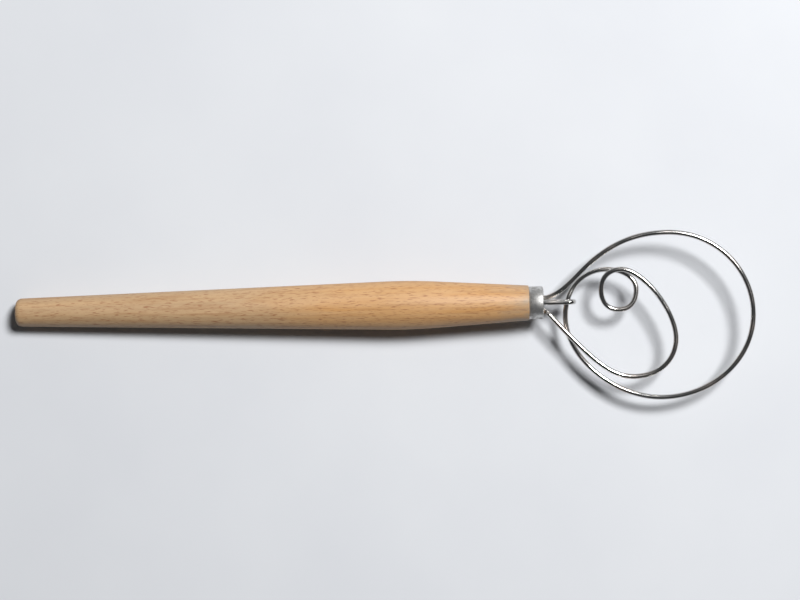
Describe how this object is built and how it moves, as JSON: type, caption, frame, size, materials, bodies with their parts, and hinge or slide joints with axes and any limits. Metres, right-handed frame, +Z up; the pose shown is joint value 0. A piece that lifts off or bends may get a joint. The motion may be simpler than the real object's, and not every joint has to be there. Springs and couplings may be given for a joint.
{
  "type": "dough whisk",
  "caption": "Dough whisk with a turned wooden handle, a steel ferrule and one long wire bent into an outer loop, a small coil and a middle loop.",
  "frame": {"origin": "on the table under the middle of the tool's outline, seen from above, with the handle's long taper lying flat on the table", "axes": "+X along the tool from the butt end to the loops, +Y across the loops, +Z up from the table; the handle's axis rises towards +X by its own taper, 1.6 degrees, and the tool is rolled 2.5 degrees about it"},
  "size_m": [0.3794, 0.0868, 0.0252],
  "materials": {
    "beech": "dry, lightly oiled",
    "galvanised_steel": "dull, stained",
    "stainless_wire": "drawn, bright"
  },
  "bodies": {
    "root": {"handle": "beech", "ferrule": "galvanised_steel", "whisk_wire": "stainless_wire", "keeper_wire": "stainless_wire"}
  },
  "joints": []
}
